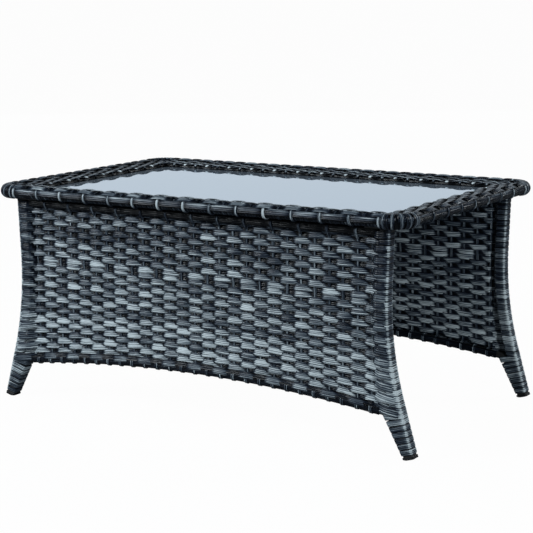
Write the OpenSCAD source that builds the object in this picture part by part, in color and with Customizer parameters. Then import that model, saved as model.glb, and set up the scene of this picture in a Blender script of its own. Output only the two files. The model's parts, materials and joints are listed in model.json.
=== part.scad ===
// Woven garden coffee table with a drop-in glass top.
// Frame: X along the length, front at -Y, Z up, origin on the floor under the centre.
// All sizes are in millimetres.

/* [Overall] */
// height from the floor to the top of the woven border
table_h = 450; // [400:5:520]
// length over the woven border
top_l = 950; // [900:10:1100]
// width over the woven border
top_w = 590; // [560:10:700]
// height at which the legs are narrowest
waist_z = 283.8; // [280:0.2:288]

/* [Woven border] */
// width of the border around the glass
rim_w = 65; // [65:1:70]
// radius over the wraps on the outer edge tube
rim_edge_r = 13.5; // [13.5:0.1:14]
// plan radius of the outer corners
corner_r = 45; // [40:1:50]
// thickness of the woven skin
skin_t = 2.5; // [2:0.1:2.5]
// spacing of the cross wraps round the edge
ring_pitch = 60; // [58:1:62]
// width of one cross wrap
ring_w = 8; // [6:1:10]

/* [Glass] */
// thickness of the glass
glass_t = 5; // [4:0.5:5]
// depth of the glass surface below the inner top edge
glass_drop = 9.5; // [9:0.5:10]
// gap between the glass and the border on each side
glass_gap = 2; // [1.5:0.5:4]
// thickness of the clear pads under the glass
pad_t = 2; // [1.5:0.5:2.5]

/* [Side panels] */
// distance from one leg centre plane to the other, across the table
panel_span = 517; // [510:1:520]
// height of the top rail's centre line
top_rail_z = 412.5; // [411:0.5:412.5]
// height of the arched rail's centre line at the middle of the table
arch_z = 110; // [108:1:120]
// radius of the arched rail
arch_r = 3120; // [3050:10:3200]
// radius of the round rails
rail_r = 7; // [6.5:0.1:7]
// spacing of the upright stakes
stake_pitch = 30; // [28:1:30]
// number of stakes on each side of the middle one
stake_side_n = 13; // [8:1:13]
// thickness of the woven panel
weave_t = 10; // [8:1:12]

/* [Legs] */
// width of the steel leg tube, seen from the front
leg_tube_w = 18; // [16:1:18]
// depth of the steel leg tube
leg_tube_d = 19; // [16:1:19]
// thickness of the strands wrapped round a leg
wrap_t = 2.5; // [2:0.1:3]
// distance of the leg centre line from the middle of the table at the waist
waist_x = 415; // [413:1:417]
// radius of the bend in the leg
bend_r = 660; // [640:5:680]
// lean of the straight lower part of the leg, in degrees
lean_low = 16.2; // [15:0.1:17]
// lean of the straight upper part of the leg, in degrees
lean_top = 2.2; // [1:0.1:3]
// how far the foot's lowest corner is cut off to make the flat that it stands on
foot_cut = 2.3; // [1.5:0.1:3]
// thickness of the head of the foot glide
glide_t = 5; // [4:0.5:6]
// wall of all steel tubes
wall = 1.5; // [1.2:0.1:2]

/* [Fasteners] */
// radius of the bolts that hold the legs to the top
bolt_r = 3; // [2.5:0.5:3]
// radius of the rivet nuts in the inner frame
nut_r = 4.4; // [4:0.1:4.4]

/* [Hidden] */
fit_gap = 0.2;
steel_grey = [0.13, 0.13, 0.14];
plastic_black = [0.06, 0.06, 0.07];
strand_dark = [0.20, 0.23, 0.28];
strand_mid = [0.33, 0.37, 0.42];
strand_light = [0.45, 0.50, 0.55];
zinc_grey = [0.62, 0.63, 0.65];
pad_clear = [0.85, 0.88, 0.90];
glass_blue = [0.60, 0.68, 0.74, 0.55];

// border section: distances u are measured inwards from the outer edge
edge_z = table_h - rim_edge_r;
tube_r = 10;
band_r = rim_edge_r - 0.9;
ring_in_r = band_r + 0.1;
skin_top_z = table_h - 4;
skin_low_z = table_h - 2 * rim_edge_r;
skin_u = rim_edge_r + 11.8;
frame_w = 12;
frame_u = rim_w - skin_t - fit_gap - frame_w - 0.3;
frame_z = skin_low_z + skin_t + 0.5;
strut_t = 4;
strut_w = 25;

// glass and what carries it
glass_top_z = skin_top_z - glass_drop;
glass_z = glass_top_z - glass_t;
glass_l = top_l - 2 * rim_w - 2 * glass_gap;
glass_w = top_w - 2 * rim_w - 2 * glass_gap;
glass_corner_r = 8;
tab_t = 3;
tab_w = 30;
tab_z = glass_z - pad_t - tab_t;
tab_reach = 20;
bar_w = 30;
bar_t = 10;
bar_x = 165;
bar_z = glass_z - pad_t - bar_t;
pad_r = 6;
strut_long_at = [-4.5, -1.5, 1.5, 4.5] * ring_pitch;
strut_short_at = [-1.5, 1.5] * ring_pitch;
tab_long_at = [-330, 0, 330];
tab_short_at = [-110, 110];

// leg centre line, seen from the front
bend_x = waist_x + bend_r;
low_x = bend_x - bend_r * cos(lean_low);
low_z = waist_z - bend_r * sin(lean_low);
head_x = bend_x - bend_r * cos(lean_top);
head_z = waist_z + bend_r * sin(lean_top);
wrap_w = leg_tube_w + 2 * wrap_t;
wrap_d = leg_tube_d + 2 * wrap_t;
foot_mid_z = wrap_w / 2 * sin(lean_low) - foot_cut;
low_len = (low_z - foot_mid_z) / cos(lean_low);
foot_x = low_x + (low_len - glide_t) * sin(lean_low);
foot_z = low_z - (low_len - glide_t) * cos(lean_low);
leg_top_z = skin_low_z - 3;
wrap_top_z = 408;

bend_steps = 12;

// foot braces, which run from the arched rail down to the foot of each leg
turn_x = 424.8;
turn_z = arch_z - turn_x * turn_x / (2 * arch_r);
brace_tube_r = rail_r - 1;
foot_in_x = foot_x - wrap_w / 2 * cos(lean_low);
foot_in_z = foot_z - wrap_w / 2 * sin(lean_low);
brace_r = brace_tube_r + wrap_t;
brace_lean = 28.3;
brace_top_x = turn_x - brace_r * cos(brace_lean);
brace_top_z = turn_z - brace_r * sin(brace_lean);
brace_len = 90;

// stakes and the loops that tie them to the rails
stake_w = 6;
stake_t = 3;
loop_w = 7;
loop_r = rail_r + 1.6;
weave_top_z = top_rail_z - loop_r - fit_gap;
stake_top_z = weave_top_z;
weave_low_r = arch_r + loop_r + fit_gap;

// plate on each leg top
plate_t = 3;
plate_x0 = 380;
plate_x1 = 431;
plate_in = 26;
bolt_y = 19.5;
bolt_xs = [386, 410];
bolt_head_h = 4;
bolt_head_r = 5.77;
washer_t = 1.2;
washer_r = 6;
bolt_top_z = frame_z + 8;

big = 1200;

// ---------- placing ----------

// Puts a border part on side k: 0 front, 1 right, 2 back, 3 left.
// In the side's own frame x runs along the side and y is the distance u from the edge.
module on_side(k) {
    half = k % 2 == 0 ? top_w / 2 : top_l / 2;
    rotate([0, 0, 90 * k])
        translate([0, -half, 0])
            children();
}

// Puts a panel part in the front panel or, mirrored, in the back one.
module front_panel() {
    translate([0, -panel_span / 2, 0])
        children();
}

module back_panel() {
    mirror([0, 1, 0])
        front_panel()
            children();
}

// Puts a leg part, drawn for the right-hand end, at the left-hand end.
module left_end() {
    mirror([1, 0, 0])
        children();
}

// Extrudes a section drawn in (y, z) along x, centred.
module along_x(len) {
    translate([-len / 2, 0, 0])
        rotate([90, 0, 90])
            linear_extrude(len)
                children();
}

// Extrudes an outline drawn in (x, z) through the depth d, centred.
module through_y(d) {
    translate([0, d / 2, 0])
        rotate([90, 0, 0])
            linear_extrude(d)
                children();
}

// ---------- plain shapes ----------

module round_rect(l, w, r) {
    square([l - 2 * r, w], center = true);
    square([l, w - 2 * r], center = true);
    for (sx = [-1, 1], sy = [-1, 1])
        translate([sx * (l / 2 - r), sy * (w / 2 - r)])
            circle(r = r, $fn = 32);
}

module ring_2d(outer, inner, n) {
    difference() {
        circle(r = outer, $fn = n);
        circle(r = inner, $fn = n);
    }
}

function side_len(k) = k % 2 == 0 ? top_l : top_w;
function rail_z(x) = arch_z - arch_r + sqrt(arch_r * arch_r - x * x);

// ---------- woven border ----------

// A closed round bar that follows the outer edge all the way round.
module edge_loop(r) {
    for (k = [0 : 3])
        on_side(k) {
            translate([0, rim_edge_r, edge_z])
                rotate([0, 90, 0])
                    cylinder(r = r, h = side_len(k) - 2 * corner_r, center = true, $fn = 16);
            translate([side_len(k) / 2 - corner_r, corner_r, edge_z])
                rotate([0, 0, -90])
                    rotate_extrude(angle = 90, $fn = 16)
                        translate([corner_r - rim_edge_r, 0])
                            circle(r = r, $fn = 16);
        }
}

module edge_tube() {
    color(steel_grey)
        difference() {
            edge_loop(tube_r);
            edge_loop(tube_r - wall);
            for (k = [0 : 3])
                on_side(k)
                    translate([side_len(k) / 4, rim_edge_r, edge_z - tube_r - 1])
                        cylinder(r = 2, h = tube_r, $fn = 16);
        }
}

// Plan of the square tube loop next to the opening.
module frame_loop(inset, h) {
    l = top_l - 2 * (frame_u + inset);
    w = top_w - 2 * (frame_u + inset);
    cut = 2 * (frame_w - 2 * inset);
    linear_extrude(h)
        difference() {
            square([l, w], center = true);
            square([l - cut, w - cut], center = true);
        }
}

module inner_frame() {
    color(steel_grey)
        difference() {
            translate([0, 0, frame_z])
                frame_loop(0, frame_w);
            translate([0, 0, frame_z + wall])
                frame_loop(wall, frame_w - 2 * wall);
            bolt_pattern(frame_z - 1, wall + 2, nut_r + 0.05);
        }
}

// Flat steel crosspieces from the edge tube to the inner frame.
module frame_struts() {
    color(steel_grey)
        difference() {
            for (k = [0 : 3])
                on_side(k)
                    for (x = k % 2 == 0 ? strut_long_at : strut_short_at)
                        translate([x - strut_w / 2, rim_edge_r + tube_r / 2, edge_z - strut_t / 2])
                            cube([strut_w, frame_u - rim_edge_r - tube_r / 2, strut_t]);
            edge_loop(tube_r);
        }
}

module glass_tabs() {
    color(steel_grey)
        for (k = [0 : 3])
            on_side(k)
                for (x = k % 2 == 0 ? tab_long_at : tab_short_at)
                    translate([x - tab_w / 2, frame_u + frame_w, tab_z])
                        cube([tab_w, rim_w - frame_u - frame_w + tab_reach, tab_t]);
}

module cross_bar(x) {
    len = top_w - 2 * (frame_u + frame_w);
    color(steel_grey)
        translate([x, 0, bar_z + bar_t / 2])
            difference() {
                cube([bar_w, len, bar_t], center = true);
                cube([bar_w - 2 * wall, len + 1, bar_t - 2 * wall], center = true);
            }
}

module cross_bar_left() {
    cross_bar(-bar_x);
}

module cross_bar_right() {
    cross_bar(bar_x);
}

module glass_pads() {
    color(pad_clear) {
        for (k = [0 : 3])
            on_side(k)
                for (x = k % 2 == 0 ? tab_long_at : tab_short_at)
                    translate([x, rim_w + tab_reach - pad_r - 1, glass_z - pad_t])
                        cylinder(r = pad_r, h = pad_t - 0.05, $fn = 16);
        for (x = [-bar_x, bar_x], y = [-130, 130])
            translate([x, y, glass_z - pad_t])
                cylinder(r = pad_r, h = pad_t - 0.05, $fn = 16);
    }
}

module glass_pane() {
    color(glass_blue)
        translate([0, 0, glass_z])
            linear_extrude(glass_t)
                round_rect(glass_l, glass_w, glass_corner_r);
}

// Folded skin: over the top, down the inner wall and back underneath.
module skin_section() {
    difference() {
        translate([skin_u, skin_low_z])
            square([rim_w - skin_u, skin_top_z - skin_low_z]);
        translate([skin_u - 1, skin_low_z + skin_t])
            square([rim_w - skin_u + 1 - skin_t, skin_top_z - skin_low_z - 2 * skin_t]);
    }
}

module top_weave(k) {
    len = side_len(k);
    reach = rim_w + 1;
    color(strand_dark)
        difference() {
            intersection() {
                on_side(k)
                    along_x(len)
                        skin_section();
                on_side(k)
                    translate([0, 0, skin_low_z - 1])
                        linear_extrude(2 * rim_edge_r)
                            polygon([
                                [-len / 2 + 0.1, 0],
                                [len / 2 - 0.1, 0],
                                [len / 2 - reach - 0.1, reach],
                                [-len / 2 + reach + 0.1, reach]
                            ]);
                translate([0, 0, skin_low_z - 1])
                    linear_extrude(2 * rim_edge_r)
                        round_rect(top_l - 2 * skin_u, top_w - 2 * skin_u, corner_r - skin_u);
            }
            on_side(k)
                for (x = k % 2 == 0 ? tab_long_at : tab_short_at)
                    translate([x - tab_w / 2 - fit_gap, frame_u + frame_w - 1, tab_z - fit_gap])
                        cube([tab_w + 2 * fit_gap, 2 * skin_t + 5, tab_t + 2 * fit_gap]);
            for (x = [-bar_x, bar_x])
                translate([x, 0, bar_z + bar_t / 2])
                    cube([bar_w + 2 * fit_gap, top_w - 2 * rim_w + 20, bar_t + 2 * fit_gap], center = true);
            bolt_pattern(skin_low_z - 1, skin_t + 2, bolt_r + 0.4);
        }
}

module top_weave_front() {
    top_weave(0);
}

module top_weave_right() {
    top_weave(1);
}

module top_weave_back() {
    top_weave(2);
}

module top_weave_left() {
    top_weave(3);
}

// Section of the long strips laid on the edge tube, open where the struts join it.
module band_section() {
    difference() {
        ring_2d(band_r, tube_r + fit_gap, 16);
        translate([0, -strut_t / 2 - fit_gap])
            square([rim_edge_r + 2, strut_t + 2 * fit_gap]);
    }
}

module edge_band(k) {
    color(strand_mid)
        on_side(k)
            translate([0, rim_edge_r, edge_z])
                along_x(side_len(k) - 2 * corner_r - 2 * fit_gap)
                    band_section();
}

module edge_band_front() {
    edge_band(0);
}

module edge_band_right() {
    edge_band(1);
}

module edge_band_back() {
    edge_band(2);
}

module edge_band_left() {
    edge_band(3);
}

// Fan of wraps round one rounded corner; k is the side that it follows.
module corner_wrap(k) {
    color(strand_mid)
        on_side(k)
            translate([side_len(k) / 2 - corner_r, corner_r, edge_z])
                rotate([0, 0, -90])
                    rotate_extrude(angle = 90, $fn = 16)
                        translate([corner_r - rim_edge_r, 0])
                            mirror([1, 0])
                                band_section();
}

module corner_wrap_front_right() {
    corner_wrap(0);
}

module corner_wrap_back_right() {
    corner_wrap(1);
}

module corner_wrap_back_left() {
    corner_wrap(2);
}

module corner_wrap_front_left() {
    corner_wrap(3);
}

module edge_rings() {
    color(strand_light)
        for (k = [0 : 3]) {
            n = floor((side_len(k) / 2 - corner_r - ring_w) / ring_pitch);
            on_side(k)
                for (i = [-n : n])
                    translate([i * ring_pitch, rim_edge_r, edge_z])
                        along_x(ring_w)
                            ring_2d(rim_edge_r, ring_in_r, 14);
        }
}

// ---------- side panels ----------

// One edge of the leg, seen from the front, at distance r from the centre of its bend.
function bend_point(r, a) = [bend_x - r * cos(a), waist_z + r * sin(a)];
function leg_edge(r, low) = concat(
    [bend_point(r, -lean_low) + low * [sin(lean_low), -cos(lean_low)]],
    [for (i = [0 : bend_steps]) bend_point(r, -lean_low + (lean_low + lean_top) * i / bend_steps)],
    [bend_point(r, lean_top) + 150 * [sin(lean_top), cos(lean_top)]]
);
function reversed(list) = [for (i = [len(list) - 1 : -1 : 0]) list[i]];

// Side outline of the right-hand leg, w wide, from the foot cut to well above the top.
module leg_outline(w, low) {
    polygon(concat(leg_edge(bend_r + w / 2, low), reversed(leg_edge(bend_r - w / 2, low))));
}

module leg_bar(w, d, low, top_z) {
    intersection() {
        through_y(d)
            leg_outline(w, low);
        translate([0, -big / 2, -100])
            cube([big, big, top_z + 100]);
    }
}

module leg_tube() {
    color(steel_grey)
        difference() {
            leg_bar(leg_tube_w, leg_tube_d, low_len - glide_t, leg_top_z);
            leg_bar(leg_tube_w - 2 * wall, leg_tube_d - 2 * wall, low_len, leg_top_z + 1);
        }
}

// Round bar along the arch, from leg to leg.
module arched_bar(r) {
    span = 2 * asin(low_x / arch_r);
    translate([0, 0, arch_z - arch_r])
        rotate([90, 0, 0])
            rotate([0, 0, 90 - span / 2])
                rotate_extrude(angle = span, $fn = 360)
                    translate([arch_r, 0])
                        circle(r = r, $fn = 16);
}

// Round bar from the arched rail down beside the right-hand leg.
module brace_bar(r) {
    translate([turn_x, 0, rail_z(turn_x)])
        rotate([0, 180 - brace_lean, 0])
            cylinder(r = r, h = brace_len, $fn = 24);
}

// Everything below the plane in which the leg is cut off, at depth extra under it.
module below_foot(extra) {
    translate([low_x, 0, low_z])
        rotate([0, -lean_low, 0])
            translate([-200, -50, -low_len + glide_t - extra - 200])
                cube([400, 100, 200]);
}

module bottom_rail() {
    color(steel_grey)
        difference() {
            arched_bar(rail_r);
            arched_bar(rail_r - wall);
            for (sx = [0, 1])
                mirror([sx, 0, 0])
                    leg_bar(leg_tube_w, leg_tube_d, low_len, leg_top_z);
        }
}

// Space outside the leg's centre line near the foot.
module beyond_leg() {
    translate([low_x, 0, low_z])
        rotate([0, -lean_low, 0])
            translate([0, -50, -150])
                cube([200, 100, 200]);
}

// Short tubes that stiffen the feet, from the arched rail down to each leg's foot.
module foot_braces() {
    color(steel_grey)
        for (sx = [0, 1])
            mirror([sx, 0, 0])
                difference() {
                    brace_bar(brace_tube_r);
                    brace_bar(brace_tube_r - wall);
                    arched_bar(rail_r);
                    leg_bar(leg_tube_w, leg_tube_d, low_len + 20, leg_top_z);
                    below_foot(-2);
                    beyond_leg();
                }
}

module top_rail_bar(r) {
    translate([0, 0, top_rail_z])
        rotate([0, 90, 0])
            cylinder(r = r, h = 2 * waist_x, center = true, $fn = 24);
}

module top_rail() {
    color(steel_grey)
        difference() {
            top_rail_bar(rail_r);
            top_rail_bar(rail_r - wall);
            for (sx = [0, 1])
                mirror([sx, 0, 0])
                    leg_bar(leg_tube_w, leg_tube_d, low_len, leg_top_z);
        }
}

// Strands wrapped round the leg tube and, low down, round the foot brace too.
module leg_wrap() {
    color(strand_light)
        difference() {
            union() {
                leg_bar(wrap_w, wrap_d, low_len - glide_t, wrap_top_z);
                through_y(wrap_d)
                    polygon([
                        [brace_top_x, brace_top_z],
                        [foot_in_x, foot_in_z],
                        [foot_x, foot_z],
                        [low_x, low_z],
                        [low_x - 4, brace_top_z]
                    ]);
            }
            leg_bar(leg_tube_w + 2 * fit_gap, leg_tube_d + 2 * fit_gap, low_len, leg_top_z);
            arched_bar(rail_r + fit_gap);
            brace_bar(brace_tube_r + fit_gap);
            top_rail_bar(rail_r + fit_gap);
        }
}

module foot_glide() {
    plug_w = leg_tube_w - 2 * wall - 2 * fit_gap;
    plug_d = leg_tube_d - 2 * wall - 2 * fit_gap;
    color(plastic_black)
        difference() {
            translate([low_x, 0, low_z])
                rotate([0, -lean_low, 0])
                    translate([0, 0, -low_len]) {
                        linear_extrude(glide_t)
                            round_rect(wrap_w, wrap_d, 4);
                        linear_extrude(glide_t + 14)
                            square([plug_w, plug_d], center = true);
                    }
            translate([0, -50, -50])
                cube([big, 100, 50]);
        }
}

// Outline of the woven panel between the legs, above the arched rail.
module weave_outline() {
    step_z = 150;
    difference() {
        union() {
            translate([-waist_x - 3, step_z])
                square([2 * waist_x + 6, weave_top_z - step_z]);
            translate([-waist_x - 21, 60])
                square([2 * waist_x + 42, step_z - 60]);
        }
        for (sx = [0, 1])
            mirror([sx, 0])
                leg_outline(wrap_w + 2 * fit_gap, low_len);
        translate([0, arch_z - arch_r])
            circle(r = weave_low_r, $fn = 720);
    }
}

module each_stake(step) {
    for (i = [-stake_side_n : stake_side_n])
        if (i % step == 0)
            translate([i * stake_pitch, 0, 0])
                children();
}

module weave() {
    color(strand_mid)
        difference() {
            through_y(weave_t)
                weave_outline();
            each_stake(1)
                translate([0, 0, table_h / 2])
                    cube([stake_w + 2 * fit_gap, stake_t + 2 * fit_gap, 2 * table_h], center = true);
        }
}

module stakes() {
    color(strand_dark)
        for (i = [-stake_side_n : stake_side_n]) {
            x = i * stake_pitch;
            low = rail_z(x) + loop_r + 0.7;
            translate([x - stake_w / 2, -stake_t / 2, low])
                cube([stake_w, stake_t, stake_top_z - low]);
        }
}

// Every second stake comes forward at the top and loops over the top rail.
module top_loops() {
    color(strand_light)
        each_stake(2)
            translate([0, 0, top_rail_z])
                along_x(loop_w)
                    ring_2d(loop_r, rail_r + fit_gap, 14);
}

// Each stake loops round the arched rail.
module rail_loops() {
    color(strand_light)
        for (i = [-stake_side_n : stake_side_n]) {
            x = i * stake_pitch;
            translate([x, 0, rail_z(x)])
                rotate([0, asin(x / arch_r), 0])
                    along_x(loop_w)
                        ring_2d(loop_r, rail_r + fit_gap, 14);
        }
}

module front_top_rail() {
    front_panel() top_rail();
}

module back_top_rail() {
    back_panel() top_rail();
}

module front_bottom_rail() {
    front_panel() bottom_rail();
}

module back_bottom_rail() {
    back_panel() bottom_rail();
}

module front_foot_braces() {
    front_panel() foot_braces();
}

module back_foot_braces() {
    back_panel() foot_braces();
}

module front_stakes() {
    front_panel() stakes();
}

module back_stakes() {
    back_panel() stakes();
}

module front_weave() {
    front_panel() weave();
}

module back_weave() {
    back_panel() weave();
}

module front_top_loops() {
    front_panel() top_loops();
}

module back_top_loops() {
    back_panel() top_loops();
}

module front_rail_loops() {
    front_panel() rail_loops();
}

module back_rail_loops() {
    back_panel() rail_loops();
}

// ---------- legs ----------

module leg_tube_front_right() {
    front_panel() leg_tube();
}

module leg_tube_front_left() {
    left_end() leg_tube_front_right();
}

module leg_tube_back_right() {
    back_panel() leg_tube();
}

module leg_tube_back_left() {
    left_end() leg_tube_back_right();
}

module leg_wrap_front_right() {
    front_panel() leg_wrap();
}

module leg_wrap_front_left() {
    left_end() leg_wrap_front_right();
}

module leg_wrap_back_right() {
    back_panel() leg_wrap();
}

module leg_wrap_back_left() {
    left_end() leg_wrap_back_right();
}

module foot_glide_front_right() {
    front_panel() foot_glide();
}

module foot_glide_front_left() {
    left_end() foot_glide_front_right();
}

module foot_glide_back_right() {
    back_panel() foot_glide();
}

module foot_glide_back_left() {
    left_end() foot_glide_back_right();
}

// ---------- leg top plates and their fasteners ----------

// Round cuts or shafts at the two bolt places of one right-hand plate.
module bolt_pair(z, h, r, n) {
    for (x = bolt_xs)
        translate([x, bolt_y, z])
            cylinder(r = r, h = h, $fn = n);
}

// The same at all four plates.
module bolt_pattern(z, h, r) {
    at_all_plates()
        bolt_pair(z, h, r, 16);
}

module at_all_plates() {
    for (sx = [0, 1])
        mirror([sx, 0, 0]) {
            front_panel() children();
            back_panel() children();
        }
}

module top_plate() {
    color(steel_grey)
        difference() {
            translate([plate_x0, -wrap_d / 2, leg_top_z])
                cube([plate_x1 - plate_x0, wrap_d / 2 + plate_in, plate_t]);
            bolt_pair(leg_top_z - 1, plate_t + 2, bolt_r + 0.3, 16);
        }
}

module top_plate_front_right() {
    front_panel() top_plate();
}

module top_plate_front_left() {
    left_end() top_plate_front_right();
}

module top_plate_back_right() {
    back_panel() top_plate();
}

module top_plate_back_left() {
    left_end() top_plate_back_right();
}

module plate_bolts() {
    head_top = leg_top_z - washer_t;
    color(zinc_grey)
        at_all_plates() {
            bolt_pair(head_top - bolt_head_h, bolt_head_h, bolt_head_r, 6);
            bolt_pair(head_top - 1, bolt_top_z - head_top + 1, bolt_r, 16);
        }
}

module plate_washers() {
    color(zinc_grey)
        difference() {
            at_all_plates()
                bolt_pair(leg_top_z - washer_t, washer_t, washer_r, 16);
            bolt_pattern(leg_top_z - washer_t - 1, washer_t + 2, bolt_r + fit_gap);
        }
}

module rivet_nuts() {
    color(zinc_grey)
        difference() {
            at_all_plates()
                bolt_pair(frame_z, bolt_top_z - frame_z, nut_r, 16);
            bolt_pattern(frame_z - 1, bolt_top_z - frame_z + 2, bolt_r + 0.05);
        }
}

// ---------- the table ----------

glass_pane();
glass_pads();
edge_tube();
inner_frame();
frame_struts();
glass_tabs();
cross_bar_left();
cross_bar_right();
top_weave_front();
top_weave_back();
top_weave_left();
top_weave_right();
edge_band_front();
edge_band_back();
edge_band_left();
edge_band_right();
corner_wrap_front_left();
corner_wrap_front_right();
corner_wrap_back_left();
corner_wrap_back_right();
edge_rings();
front_top_rail();
front_bottom_rail();
front_foot_braces();
front_stakes();
front_weave();
front_top_loops();
front_rail_loops();
back_top_rail();
back_bottom_rail();
back_foot_braces();
back_stakes();
back_weave();
back_top_loops();
back_rail_loops();
leg_tube_front_left();
leg_tube_front_right();
leg_tube_back_left();
leg_tube_back_right();
leg_wrap_front_left();
leg_wrap_front_right();
leg_wrap_back_left();
leg_wrap_back_right();
foot_glide_front_left();
foot_glide_front_right();
foot_glide_back_left();
foot_glide_back_right();
top_plate_front_left();
top_plate_front_right();
top_plate_back_left();
top_plate_back_right();
plate_bolts();
plate_washers();
rivet_nuts();
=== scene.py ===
"""Looks of the woven garden coffee table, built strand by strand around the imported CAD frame."""

import json
import math
import random

import bpy
import numpy as np
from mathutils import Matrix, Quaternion, Vector


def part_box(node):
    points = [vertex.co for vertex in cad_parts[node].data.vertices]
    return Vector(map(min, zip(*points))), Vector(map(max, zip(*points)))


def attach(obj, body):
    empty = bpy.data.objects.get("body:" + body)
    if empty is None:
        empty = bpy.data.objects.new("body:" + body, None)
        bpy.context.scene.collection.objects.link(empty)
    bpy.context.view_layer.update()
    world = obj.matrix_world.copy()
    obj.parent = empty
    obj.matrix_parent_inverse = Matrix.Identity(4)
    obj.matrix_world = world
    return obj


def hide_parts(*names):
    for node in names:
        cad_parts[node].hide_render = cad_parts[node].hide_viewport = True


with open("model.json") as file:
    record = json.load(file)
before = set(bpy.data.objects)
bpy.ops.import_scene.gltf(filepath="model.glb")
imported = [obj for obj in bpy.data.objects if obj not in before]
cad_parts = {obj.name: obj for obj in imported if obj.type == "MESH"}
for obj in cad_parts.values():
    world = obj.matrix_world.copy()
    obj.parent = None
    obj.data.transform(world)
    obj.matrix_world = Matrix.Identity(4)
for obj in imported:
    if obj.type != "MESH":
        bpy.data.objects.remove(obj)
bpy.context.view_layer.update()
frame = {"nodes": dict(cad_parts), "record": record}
nodes = frame["nodes"]
rng = random.Random(7)

# ---------------------------------------------------------------- sizes, in metres

TABLE_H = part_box("edge_rings")[1].z
HALF_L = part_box("edge_rings")[1].x
HALF_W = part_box("edge_rings")[1].y
leg_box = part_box("leg_wrap_front_right")
PANEL_Y = abs(leg_box[0].y + leg_box[1].y) / 2
LEG_D = leg_box[1].y - leg_box[0].y

# leg centre line, as in the CAD
LEG_W = 0.023
WAIST_X, WAIST_Z, BEND_R = 0.415, 0.2838, 0.660
LEAN_LOW, LEAN_TOP = math.radians(16.2), math.radians(2.2)

# inner edge of the brace beside the leg: where it meets the leg, and its lean
BRACE_X, BRACE_Z, BRACE_LEAN = 0.4173, 0.0767, math.radians(28.3)

# wrapping of the legs
LEG_CORNER_R = 0.0032
LEG_RING_T = 0.0017
LEG_RING_INSET = 0.0009     # of its middle, inside the leg's wrapped size
LEG_RING_W = 0.0108
TURN_RING_W = 0.0125        # the rings that turn from level to square are wider, and close the gaps
TURN_TOP, TURN_LOW = 0.084, 0.074
TURN_SHARE = 0.62           # of the lower leg's lean, between those two heights
LOWEST_RING = 0.0062

# arched rail and stakes
ARCH_Z, ARCH_R, RAIL_R = 0.110, 3.120, 0.007
TOP_RAIL_Z = 0.4125
STAKE_PITCH, STAKE_N = 0.030, 13        # STAKE_N stakes on each side of the middle one
LAST_STAKE = STAKE_N * STAKE_PITCH
STAKE_W = 0.0062

# weave of the side panels
ROW_PITCH = 0.01105
TOP_ROW_Z = 0.4085
LEVEL_ROWS = 12         # of these the last two pass in front of the same stakes
ARCHED_ROWS = 18        # these turn from level to the curve of the rail
ARCHED_PITCH = 0.00935
WEAVE_SWING = 0.0020    # how far a strand moves to each side of the stakes
LAST_ROW_Z = 0.0078     # the last row lies in front of the rail, this far above its centre
LAST_ROW_DEPTH = 0.0074     # and this far in front of the panel's middle
STRAND_W, STRAND_T = 0.0138, 0.0016
STAKE_T = 0.0018
WRAP_T = 0.0015
LOOP_W, LOOP_PLACES = 0.0034, (-0.0019, 0.0019)     # the two loops round the arched rail at each stake
COVER_W, COVER_T = 0.0150, 0.0014       # the strands laid along the rails
RAIL_END = 0.410        # from the middle to the ends of those along the arched rail
TOP_COVER_END = 0.404
STRAND_POINTS = 345
SLACK, WAVER = 0.0003, 0.0006           # how far strands stray up and down, each alone and together
WEAVE_TILT = 0.18       # the lower edge is proud, in metres of depth per metre of width
ROW_SLOPE = 0.009       # the lowest level rows fall a little from left to right
SLOPE_DEPTH = 0.12      # and reach that slope this far below the top row
LEG_STOP = 0.0045       # strands over a leg end this far before its outer edge
LEG_TUCK = 0.0020       # and dip this much at their ends
HIDDEN_END = 0.004      # the other strands end this far inside the leg, at this depth
HIDDEN_DEPTH = 0.005
BESIDE_LEG = (0.380, 0.396)             # strands widen between these distances from the middle,
LEG_WIDEN = 0.20        # by this share, and close the gaps beside the legs
ON_LEG = (0.004, 0.014)                 # they take on the leg's tone, painted shade included, this far past the last stake

# cross-section of a strand, in shares of half its width and thickness
PLAIN_FACE = ((-0.98, 0.0), (-0.9, 0.7), (-0.5, 1.0), (0.0, 1.12), (0.5, 1.0), (0.9, 0.7), (0.98, 0.0))
RIDGED_FACE = ((-0.98, 0.0), (-0.8, 0.95), (-0.45, 1.1), (0.0, 0.35), (0.45, 1.1), (0.8, 0.95), (0.98, 0.0))
INNER_FACE = ((0.8, -0.8), (0.4, -1.0), (0.0, -1.0), (-0.4, -1.0), (-0.8, -0.8))

# tones of the panels' strands, from 0, near black, to 1, light grey, painted light and shade included
RECESS_SHADE = 0.72     # painted shade: a strand is this much darker where it runs behind a stake
LAST_ROW_SHADE = 0.55   # the share of that on the last row, which has no row below it
EDGE_SHADE = 0.22       # painted shade: a strand is this much darker along its rounded edges
LIT_SIDE = 0.24         # painted light: the right-hand side of each float stays light this much further, in stake pitches
PAINTED_LOW_EDGE_LIGHT = 0.20         # painted light and shade: a strand's lower edge is this much lighter than its upper edge
PATCH_TONE = 0.08       # how much a strand's tone changes at random along its length

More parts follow.
